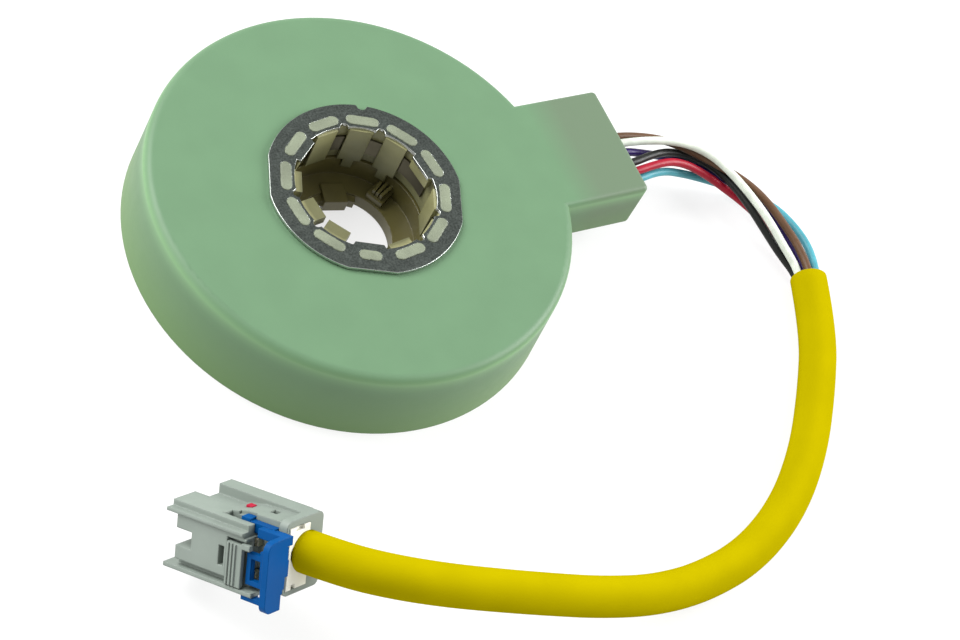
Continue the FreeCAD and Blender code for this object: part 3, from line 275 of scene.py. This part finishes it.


# The input rotor's painted light and shade: it gets paler with the height and from the tongues' faces out to the
# pads'.
ROTOR_CLIMB = (5.0 * MM, 16.0 * MM)
TONGUES_TO_PADS = (11.9 * MM, 12.9 * MM)
ROTOR_CLOUD_SHARE = 0.82


def rotor_plastic(name, roughness, shaded, lit):
    """Natural nylon, which lets light through. Painted light and shade make it pale at the pads' rim, dark on
    the tongues and low down.
    """
    material = moulded(name, lit, roughness)
    tree = material.node_tree
    vector, place = place_in_part(tree)
    light = tree.nodes.new("ShaderNodeMath")
    light.operation = "MULTIPLY"
    tree.links.new(ranged(tree, place["Z"], *ROTOR_CLIMB), light.inputs[0])
    tree.links.new(ranged(tree, distance_from_axis(tree, vector), *TONGUES_TO_PADS), light.inputs[1])
    light = light.outputs["Value"]
    clear = blend_colours(tree, light, shaded, lit)
    cloudy = blend_colours(tree, light, scaled(shaded, ROTOR_CLOUD_SHARE), scaled(lit, ROTOR_CLOUD_SHARE))
    drift = ranged(tree, clouds(tree, size_mm=4.0), *ROUGHNESS_DRIFT)
    tree.links.new(blend_colours(tree, drift, clear, cloudy), shader_inputs(material)["Base Color"])
    return material


LOOKS = {
    # In the housing's look, low is a painted yellow tint of shade on the sides, and edge is a painted glow of
    # light.
    "green_plastic": housing_plastic("green_plastic", 0.46, top=(0.094, 0.176, 0.096), box=(0.098, 0.144, 0.089),
                                     low=(0.103, 0.190, 0.069), edge=(0.155, 0.285, 0.137)),
    "steel_plate": rolled("steel_plate", (0.088, 0.101, 0.092), 0.38, spread=0.3, tone_mm=0.35),
    "cream_plastic": rotor_plastic("cream_plastic", 0.40, shaded=(0.10, 0.10, 0.042), lit=(0.25, 0.245, 0.115)),
    "spring_steel": strip("spring_steel", (0.12, 0.11, 0.075), 0.35),
    "target_metal": rolled("target_metal", (0.70, 0.70, 0.68), 0.35),
    "dark_plastic": moulded("dark_plastic", (0.03, 0.032, 0.03), 0.45),
    "board": moulded("board", (0.03, 0.16, 0.07), 0.35),
    "chip_plastic": moulded("chip_plastic", (0.02, 0.02, 0.02), 0.5),
    "seal_rubber": moulded("seal_rubber", (0.03, 0.03, 0.032), 0.7),
    "wire_white": insulation("wire_white", (0.54, 0.58, 0.51)),
    "wire_brown": insulation("wire_brown", (0.088, 0.045, 0.022)),
    "wire_violet": insulation("wire_violet", (0.017, 0.004, 0.08)),
    "wire_black": insulation("wire_black", (0.008, 0.009, 0.008)),
    "wire_red": insulation("wire_red", (0.27, 0.004, 0.018)),
    "wire_teal": insulation("wire_teal", (0.06, 0.26, 0.31)),
    "yellow_sleeve": moulded("yellow_sleeve", (0.305, 0.25, 0.0003), 0.42, grain_mm=1.2, height_mm=0.01,
                             edge_mm=0.0, spread=0.03, specular=0.0),
    "grey_plastic": moulded("grey_plastic", (0.187, 0.22, 0.193), 0.48, edge_mm=0.35, specular=0.35),
    "blue_plastic": moulded("blue_plastic", (0.0004, 0.056, 0.20), 0.36, specular=0.06),
    "insert_plastic": moulded("insert_plastic", (0.74, 0.73, 0.64), 0.45),
    "red_plastic": moulded("red_plastic", (0.33, 0.012, 0.035), 0.4, specular=0.1),
    "contact_metal": rolled("contact_metal", (0.66, 0.60, 0.45), 0.3),
}

# Looks that differ from their slot's: the output rotor, the melted heads and the plate's bare edges.
OUTPUT_ROTOR_LOOK = moulded("olive_plastic", (0.085, 0.075, 0.022), 0.36, spread=0.2)
STAKE_LOOK = moulded("stake_plastic", (0.148, 0.17, 0.115), 0.55, grain_mm=0.4, height_mm=0.14, spread=0.2)
BARE_EDGE = rolled("bare_edge", (0.55, 0.57, 0.55), 0.3, spread=0.1)

SLOT_OF = {piece["node"]: piece["material_slot"] for piece in frame["record"]["subparts"]}
for label, node in NODES.items():
    look = OUTPUT_ROTOR_LOOK if label == "output_rotor" else LOOKS[SLOT_OF[label]]
    if node.material_slots:
        for holder in node.material_slots:
            holder.material = look
    else:
        node.data.materials.append(look)
    shade(node.data)


# The plate's and the stakes' sizes in part.py, in millimetres and degrees.
PLATE_BOTTOM = 16.85
PLATE_THICKNESS = 0.7
PLATE_RADIUS = 18.45
PLATE_FLAT = 17.9
PLATE_FLAT_ANGLES = (159.0, -22.0, -110.5)
NOTCH_ANGLE = 68.3
NOTCH_RADIUS = 0.95
HOLE_RADIUS = 13.3
LAND_FACE = 12.2
LAND_HALF_WIDTH = 2.65
LAND_ANGLES = (8.3, 128.3, 248.3)
FLARED_LAND = 248.3
FLARE_SLOPE = 0.604
SCALLOP_ANGLES = (53.3, 83.3, 173.3, 203.3, 293.3, 323.3)
SCALLOP_RADIUS = 0.8
STAKE_ANGLES = tuple(38.3 + 30.0 * i for i in range(12))
SHORT_STAKE = STAKE_ANGLES[7]
STAKE_CIRCLE = 14.85
STAKE_LENGTH = 6.0
SHORT_STAKE_LENGTH = 4.0
STAKE_WIDTH = 1.8
STAKE_FIT = 0.1
STAKE_PROUD = 0.2

# How the plate's outline is drawn: its rounded edge, degrees from point to point, and the points along a
# slot's round ends and straight sides.
PLATE_EDGE_ROUND = 0.12
PLATE_EDGE_STEPS = 2
OUTLINE_STEP = 0.5
BAR_END_STEPS = 8
BAR_SIDE_STEPS = 20
# A face with a steeper normal than this is the plate's flat face, the others are its edges.
FLAT_FACE_NORMAL = 0.9

# The rotor is cut this far above the plate's underside, so that its straight stakes go.
HUB_CUT_ABOVE = 0.01
# Height below the top and inset from the bar's outline of each ring of a melted stake, from its foot to the
# middle of its head. The heads swell over the slots' edges.
STAKE_RINGS = ((1.0, 0.0), (0.3, 0.0), (0.2, -0.14), (0.1, -0.1), (0.03, 0.06), (0.0, 0.3), (0.02, 0.6))
# Rings nearer to the top than this are melted: pushed aside and lowered by a noise with so many waves in a
# millimetre, which is read in another layer for each direction.
MELT_DEPTH = 0.25
MELT_ASIDE = 0.13
MELT_DIP = 0.05
MELT_DIP_MIDDLE = 0.8
MELT_WAVES = 2.6
MELT_LAYERS = (0.0, 7.0, 3.0)


def turned(angle, other):
    """The angle between two directions in degrees, from -180 to 180."""
    return (angle - other + 180.0) % 360.0 - 180.0


def bite(circle, radius, off, side):
    """Distance from the axis to a round bite's edge on a circle, or None beside the bite."""
    across = circle * math.sin(math.radians(off))
    if abs(off) > 90 or abs(across) >= radius:
        return None
    return circle * math.cos(math.radians(off)) + side * math.sqrt(radius ** 2 - across ** 2)


def plate_rim(angle):
    """The plate's outer edge: a circle with three flats and a notch."""
    reach = PLATE_RADIUS
    for flat in PLATE_FLAT_ANGLES:
        off = math.radians(turned(angle, flat))
        if math.cos(off) > 0:
            reach = min(reach, PLATE_FLAT / math.cos(off))
    return bite(PLATE_RADIUS, NOTCH_RADIUS, turned(angle, NOTCH_ANGLE), -1) or reach


def plate_hole(angle):
    """The plate's inner edge: a circle with three lands standing in, one of them flared, and six scallops."""
    reach = HOLE_RADIUS
    for land in LAND_ANGLES:
        off = abs(math.radians(turned(angle, land)))
        if off <= math.atan2(LAND_HALF_WIDTH, LAND_FACE):
            reach = LAND_FACE / math.cos(off)
        elif land == FLARED_LAND and off < math.atan(FLARE_SLOPE) / 2:
            slope = FLARE_SLOPE * math.cos(off) - math.sin(off)
            reach = min(reach, (FLARE_SLOPE * LAND_FACE - LAND_HALF_WIDTH) / slope)
    for scallop in SCALLOP_ANGLES:
        reach = bite(HOLE_RADIUS, SCALLOP_RADIUS, turned(angle, scallop), 1) or reach
    return reach


def bar_outline(length, width):
    """A bar with round ends, along y, as points round its middle."""
    radius = width / 2
    straight = length / 2 - radius
    points = []
    for end in (1, -1):
        for step in range(BAR_END_STEPS + 1):
            angle = math.pi * step / BAR_END_STEPS
            points.append((end * radius * math.cos(angle), end * (straight + radius * math.sin(angle))))
        for step in range(1, BAR_SIDE_STEPS):
            points.append((-end * radius, end * straight * (1 - 2 * step / BAR_SIDE_STEPS)))
    return points


def on_stake_circle(points, angle):
    """Points round a bar's middle, moved to the stake at that angle."""
    turn = math.radians(angle)
    c, s = math.cos(turn), math.sin(turn)
    return [((STAKE_CIRCLE + x) * c - y * s, (STAKE_CIRCLE + x) * s + y * c) for x, y in points]


def stake_length(angle):
    return SHORT_STAKE_LENGTH if angle == SHORT_STAKE else STAKE_LENGTH


def plate_outlines():
    """The closed outlines of the plate's rim, its hole and its slots."""
    angles = [OUTLINE_STEP * k for k in range(round(360 / OUTLINE_STEP))]
    outlines = [[(reach(a) * math.cos(math.radians(a)), reach(a) * math.sin(math.radians(a))) for a in angles]
                for reach in (plate_rim, plate_hole)]
    for angle in STAKE_ANGLES:
        slot = bar_outline(stake_length(angle) + 2 * STAKE_FIT, STAKE_WIDTH + 2 * STAKE_FIT)
        outlines.append(on_stake_circle(slot, angle))
    return outlines


def add_plate():
    """The stamped plate with round-ended slots and bare, slightly rounded edges."""
    curve = bpy.data.curves.new("plate_outline", "CURVE")
    curve.dimensions = "2D"
    curve.fill_mode = "BOTH"
    curve.extrude = (PLATE_THICKNESS / 2 - PLATE_EDGE_ROUND) * MM
    curve.bevel_depth = PLATE_EDGE_ROUND * MM
    curve.bevel_resolution = PLATE_EDGE_STEPS
    curve.offset = -PLATE_EDGE_ROUND * MM
    for outline in plate_outlines():
        spline = curve.splines.new("POLY")
        spline.points.add(len(outline) - 1)
        spline.use_cyclic_u = True
        for point, (x, y) in zip(spline.points, outline):
            point.co = (x * MM, y * MM, 0.0, 1.0)
    mesh = take_mesh(add_object("plate_outline", curve))
    middle = PLATE_BOTTOM + PLATE_THICKNESS / 2
    for vertex in mesh.vertices:
        vertex.co.z += middle * MM
    mesh.materials.clear()
    mesh.materials.append(LOOKS["steel_plate"])
    mesh.materials.append(BARE_EDGE)
    for face in mesh.polygons:
        face.material_index = 0 if abs(face.normal.z) > FLAT_FACE_NORMAL else 1
    shade(mesh)
    plate = add_object("stamped_plate", mesh)
    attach(plate, "input")
    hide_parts("retainer_plate")


def add_hub():
    """The input rotor without its straight stakes."""
    mesh = NODES["input_rotor"].data.copy()
    work = bmesh.new()
    work.from_mesh(mesh)
    bmesh.ops.bisect_plane(work, geom=work.verts[:] + work.edges[:] + work.faces[:], clear_outer=True,
                           plane_co=(0, 0, (PLATE_BOTTOM + HUB_CUT_ABOVE) * MM), plane_no=(0, 0, 1))
    work.to_mesh(mesh)
    work.free()
    hub = add_object("rotor_hub", mesh)
    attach(hub, "input")
    return hub


def melted(x, y):
    """How far a point of a melted head has moved along x, y and z."""
    spot = Vector((x, y, 0.0)) * MELT_WAVES
    along_x, along_y, down = (noise.noise(spot + Vector((0, 0, layer))) for layer in MELT_LAYERS)
    return MELT_ASIDE * along_x, MELT_ASIDE * along_y, MELT_DIP * (down - MELT_DIP_MIDDLE)


def add_stakes():
    """The stakes, melted flat over the plate."""
    top = PLATE_BOTTOM + PLATE_THICKNESS + STAKE_PROUD
    vertices = []
    faces = []
    for angle in STAKE_ANGLES:
        first = len(vertices)
        for below, inset in STAKE_RINGS:
            outline = bar_outline(stake_length(angle) - 2 * inset, STAKE_WIDTH - 2 * inset)
            for x, y in on_stake_circle(outline, angle):
                dx, dy, dz = melted(x, y) if below < MELT_DEPTH else (0.0, 0.0, 0.0)
                vertices.append(((x + dx) * MM, (y + dy) * MM, (top - below + dz) * MM))
        faces += ring_faces(first, len(STAKE_RINGS), len(outline))
    mesh = bpy.data.meshes.new("melted_stakes")
    mesh.from_pydata(vertices, [], faces)
    mesh.shade_smooth()
    mesh.materials.append(STAKE_LOOK)
    stakes = add_object("melted_stakes", mesh)
    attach(stakes, "input")
    return stakes


add_plate()
hub = add_hub()
stakes = add_stakes()
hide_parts("input_rotor")
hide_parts("input_rotor")


# The leads' routes in part.py. A wire leaves the header's front at its own y and z, runs straight along x to
# its first bend and goes on along its route.
HEADER_FRONT = 49.0
FIRST_BEND = 58.0
EXITS = {
    "wire_white": (2.9, 10.6),
    "wire_brown": (4.6, 10.9),
    "wire_violet": (1.1, 10.8),
    "wire_black": (-2.9, 11.3),
    "wire_red": (-4.3, 10.4),
    "wire_teal": (-5.6, 9.2),
}
ROUTES = {
    "wire_white": [(67.5, 1.2, 11.6), (74.1, -1.0, 11.3), (78.5, -4.5, 10.5), (81.2, -9.0, 9.6),
                   (83.2, -13.9, 8.7), (84.8, -19.0, 7.7), (86.1, -24.9, 6.1), (87.94, -30.49, 3.95),
                   (86.06, -35.34, 3.95)],
    "wire_brown": [(67.5, 3.0, 10.1), (73.0, 0.2, 9.6), (77.4, -3.3, 8.9), (81.5, -7.1, 8.5),
                   (85.0, -11.2, 8.0), (87.3, -15.8, 7.3), (88.5, -20.6, 6.6), (89.4, -25.1, 6.0),
                   (89.17, -30.97, 5.4), (87.3, -35.82, 5.4)],
    "wire_violet": [(68.3, 0.9, 6.9), (75.0, -1.2, 5.6), (80.4, -5.2, 5.0), (85.4, -9.7, 5.0),
                    (88.0, -14.6, 4.8), (89.3, -20.0, 4.4), (89.8, -25.4, 4.0), (89.52, -31.1, 3.7),
                    (87.65, -35.95, 3.7)],
    "wire_black": [(67.3, -0.5, 9.6), (73.0, -0.2, 7.8), (77.8, -2.4, 6.95), (81.1, -6.3, 6.8),
                   (82.4, -11.0, 6.9), (83.3, -15.9, 6.6), (84.6, -20.6, 5.3), (86.1, -25.1, 3.8),
                   (88.36, -30.65, 2.35), (86.48, -35.5, 2.35)],
    "wire_red": [(67.4, -3.1, 10.2), (72.6, -3.5, 8.7), (77.4, -5.9, 6.8), (81.2, -8.6, 4.9),
                 (84.2, -12.3, 4.2), (86.7, -16.7, 3.5), (88.4, -21.1, 2.8), (89.2, -25.5, 2.2),
                 (89.94, -31.27, 1.85), (88.07, -36.12, 1.85)],
    "wire_teal": [(67.5, -3.2, 7.4), (74.6, -3.7, 4.8), (82.0, -5.7, 2.5), (88.5, -9.6, 2.0),
                  (92.0, -14.2, 2.6), (93.2, -18.6, 3.1), (93.5, -23.0, 3.6), (92.8, -26.9, 4.1),
                  (90.78, -31.59, 4.85), (88.91, -36.44, 4.85)],
}
SLEEVE_ROUTE = [(-42.06, -63.35, 17.85), (-37.0, -69.0, 19.9), (-30.2, -73.6, 20.6), (-21.3, -77.0, 19.1),
                (-11.2, -79.5, 16.3), (-0.7, -81.7, 13.1), (10.0, -83.7, 9.8), (21.4, -85.1, 6.8),
                (33.0, -84.8, 4.6), (45.6, -82.3, 3.7), (57.8, -76.0, 3.7), (68.3, -66.6, 3.7),
                (77.2, -55.2, 3.7), (84.8, -43.6, 3.7), (89.4, -31.7, 3.7)]
WIRE_DIAMETER = 1.6
SLEEVE_DIAMETER = 7.2
SLEEVE_WALL = 0.55
# The sleeve is open for this depth behind its mouth.
MOUTH_DEPTH = 5.3
# In metres, a point of the insert's rear face, on which the sleeve starts, and the connector's direction.
REAR_FACE = Vector((-41.475, -64.458, 18.663)) * MM
PLUG_ALONG = Vector((0.39244, -0.74119, 0.54464))

# The order of the routes' smooth lines, and how finely the leads are drawn: steps from one of a route's points
# to the next and round a wire, and for the sleeve also its sides and the steps round its rim.
ROUTE_ORDER = 3
WIRE_STEPS = 12
WIRE_ROUND_STEPS = 6
SLEEVE_STEPS = 14
SLEEVE_SIDES = 48
RIM_STEPS = 6
# The rings inside the mouth: share of its depth and of the inner radius.
MOUTH_RINGS = ((0.5, 1.0), (1.0, 1.0), (1.0, 0.02))


def route_curve(name, points, steps):
    """A smooth line steered by the route's points."""
    curve = bpy.data.curves.new(name, "CURVE")
    curve.dimensions = "3D"
    spline = curve.splines.new("NURBS")
    spline.points.add(len(points) - 1)
    for point, place in zip(spline.points, points):
        point.co = (*(v * MM for v in place), 1.0)
    spline.order_u = ROUTE_ORDER
    spline.use_endpoint_u = True
    spline.resolution_u = steps
    return add_object(name, curve)


def add_wire(label):
    y, z = EXITS[label]
    points = [(HEADER_FRONT, y, z), (FIRST_BEND, y, z)] + ROUTES[label]
    wire = route_curve(label + "_lead", points, WIRE_STEPS)
    wire.data.bevel_depth = WIRE_DIAMETER / 2 * MM
    wire.data.bevel_resolution = WIRE_ROUND_STEPS
    wire.data.use_fill_caps = True
    wire.data.materials.append(LOOKS[label])
    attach(wire, "root")
    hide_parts(label)


def sleeve_rings(path):
    """The tube's rings in metres, from its start to its mouth, round its rim and back inside: the middle,
    two directions across and the radius of each."""
    outer = SLEEVE_DIAMETER / 2 * MM
    inner = outer - SLEEVE_WALL * MM
    rim = SLEEVE_WALL * MM / 2
    depth = MOUTH_DEPTH * MM - rim
    rings = []
    side = (path[1] - path[0]).normalized().orthogonal().normalized()
    for i, place in enumerate(path):
        ahead = (path[min(i + 1, len(path) - 1)] - path[max(i - 1, 0)]).normalized()
        side = (side - ahead * side.dot(ahead)).normalized()
        rings.append((place, side, ahead.cross(side), outer))
    mouth, side, up, outer = rings.pop()
    for step in range(RIM_STEPS + 1):
        angle = math.pi * step / RIM_STEPS
        middle = mouth - ahead * rim * (1 - math.sin(angle))
        rings.append((middle, side, up, outer - rim + rim * math.cos(angle)))
    for depth_share, radius_share in MOUTH_RINGS:
        rings.append((mouth - ahead * depth * depth_share, side, up, inner * radius_share))
    return rings


def on_rear_face(point, heading):
    """The point, moved along the tube onto the insert's rear face if it lies inside the insert."""
    behind = (REAR_FACE - point).dot(PLUG_ALONG)
    if behind > 0 and (point - REAR_FACE).length < SLEEVE_DIAMETER * MM:
        return point + heading * (behind / heading.dot(PLUG_ALONG))
    return point


def add_sleeve():
    """A tube swept along the route, open at its mouth, where its wall turns in."""
    guide = route_curve("sleeve_guide", SLEEVE_ROUTE, SLEEVE_STEPS)
    path = [vertex.co.copy() for vertex in take_mesh(guide).vertices]
    rings = sleeve_rings(path)
    vertices = []
    for middle, side, up, radius in rings:
        for k in range(SLEEVE_SIDES):
            angle = 2 * math.pi * k / SLEEVE_SIDES
            point = middle + (side * math.cos(angle) + up * math.sin(angle)) * radius
            vertices.append(on_rear_face(point, side.cross(up)))
    start = tuple(range(SLEEVE_SIDES))[::-1]
    mesh = bpy.data.meshes.new("sleeve_tube")
    mesh.from_pydata(vertices, [], [start] + ring_faces(0, len(rings), SLEEVE_SIDES))
    mesh.shade_smooth()
    mesh.materials.append(LOOKS["yellow_sleeve"])
    tube = add_object("sleeve_tube", mesh)
    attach(tube, "root")
    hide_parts("sleeve")


for wire_label in ROUTES:
    add_wire(wire_label)
add_sleeve()


# The floor's half width and how far it lies under the part, in metres, its two tones and its own light.
FLOOR_HALF = 3.0
FLOOR_BELOW = 0.00005
FLOOR_COLOUR = (0.25, 0.25, 0.25)
FLOOR_TONES = ((0.245, 0.245, 0.245), (0.255, 0.255, 0.255))
FLOOR_GLOW = 0.7
WORLD_STRENGTH = 0.75
WHITE = (1, 1, 1, 1)
# Name, place, target and width in metres, and power in watts of each lamp.
LAMPS = (
    ("key", (-0.34, 0.50, 0.58), (0, 0, 0), 0.6, 9.5),
    ("right", (0.68, -0.22, 0.40), (0.02, -0.02, 0), 0.6, 9.5),
    ("left", (-0.55, 0.25, 0.25), (0, 0, 0), 0.5, 1.8),
)
# The camera's place in metres, the directions of its right side and its back, and its lens.
CAMERA_PLACE = (-0.2030, -0.1983, 0.3525)
CAMERA_RIGHT = (0.847, -0.419, 0.326)
CAMERA_BACK = (-0.492, -0.389, 0.779)
CAMERA_LENS = 91.98
CAMERA_SENSOR = 36.0
CAMERA_NEAREST = 0.02


def add_floor():
    """A pale floor that gives off a little light of its own, so that it looks white."""
    corners = [(x * FLOOR_HALF, y * FLOOR_HALF, 0) for x, y in ((-1, -1), (1, -1), (1, 1), (-1, 1))]
    mesh = bpy.data.meshes.new("floor")
    mesh.from_pydata(corners, [], [(0, 1, 2, 3)])
    floor = add_object("floor", mesh)
    floor.location.z = -FLOOR_BELOW
    pale = new_material("pale_floor", FLOOR_COLOUR, roughness=0.9, specular=0.1)
    shade_colour(pale, *FLOOR_TONES, size_mm=40.0)
    shader_inputs(pale)["Emission Color"].default_value = WHITE
    shader_inputs(pale)["Emission Strength"].default_value = FLOOR_GLOW
    mesh.materials.append(pale)


def add_world():
    world = bpy.data.worlds.new("studio")
    bpy.context.scene.world = world
    world.use_nodes = True
    background = world.node_tree.nodes["Background"].inputs
    background["Color"].default_value = WHITE
    background["Strength"].default_value = WORLD_STRENGTH


def add_lamp(name, place, target, width, power):
    light = bpy.data.lights.new(name, "AREA")
    light.shape = "DISK"
    light.size = width
    light.energy = power
    lamp = add_object(name, light)
    lamp.location = place
    lamp.rotation_euler = (Vector(target) - Vector(place)).to_track_quat("-Z", "Y").to_euler()


def add_camera():
    data = bpy.data.cameras.new("camera")
    data.lens = CAMERA_LENS
    data.sensor_width = CAMERA_SENSOR
    data.sensor_fit = "HORIZONTAL"
    data.clip_start = CAMERA_NEAREST
    camera = add_object("camera", data)
    back = Vector(CAMERA_BACK).normalized()
    up = back.cross(Vector(CAMERA_RIGHT).normalized()).normalized()
    right = up.cross(back)
    camera.matrix_world = Matrix((*zip(right, up, back, CAMERA_PLACE), (0, 0, 0, 1)))
    bpy.context.scene.camera = camera


add_floor()
add_world()
for lamp in LAMPS:
    add_lamp(*lamp)
add_camera()
bpy.context.scene.view_settings.view_transform = "Standard"
